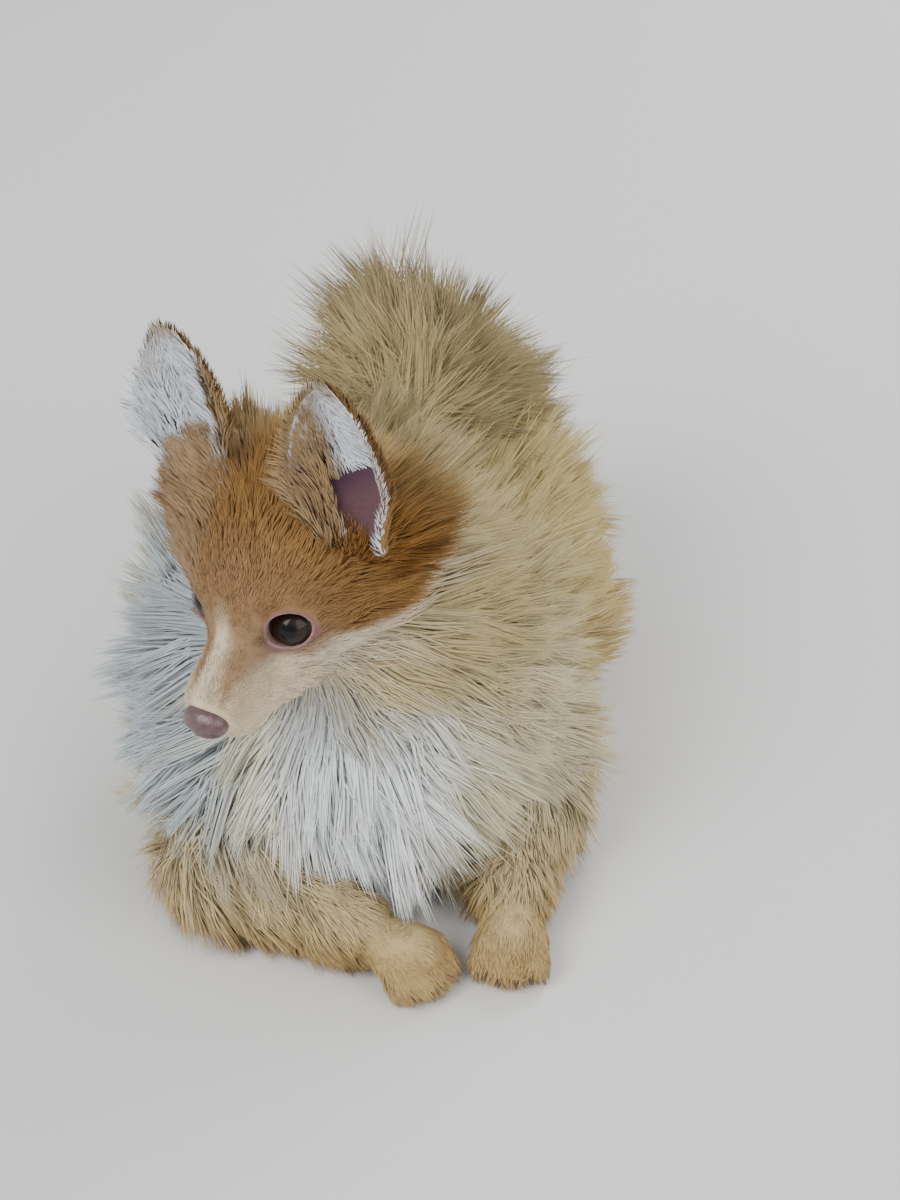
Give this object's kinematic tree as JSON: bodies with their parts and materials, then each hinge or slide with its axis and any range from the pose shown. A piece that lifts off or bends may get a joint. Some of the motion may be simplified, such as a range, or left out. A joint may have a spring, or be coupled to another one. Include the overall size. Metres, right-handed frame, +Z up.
{
  "type": "pomeranian puppy",
  "caption": "Life-size still model of a long-coated spitz puppy lying on its belly, head turned and lowered, tail curled over the back.",
  "frame": {"origin": "on the floor, under the middle of the belly's flat", "axes": "+Z up, the trunk lies along Y and faces -Y, the puppy's left side is +X"},
  "size_m": [0.2108, 0.2898, 0.2209],
  "materials": {
    "crown": "short russet tan fur",
    "coat": "long golden cream coat",
    "ruff": "long cream white ruff",
    "legs": "short tan fur",
    "nose": "moist brown nose leather",
    "eye": "wet dark brown eye"
  },
  "bodies": {
    "root": {"head": "crown", "ear_left": "crown", "ear_right": "crown", "nose": "nose", "eye_left": "eye", "eye_right": "eye", "neck": "ruff", "torso": "coat", "tail": "coat", "foreleg_left": "legs", "foreleg_right": "legs", "hindleg_left": "legs", "hindleg_right": "legs"}
  },
  "joints": []
}
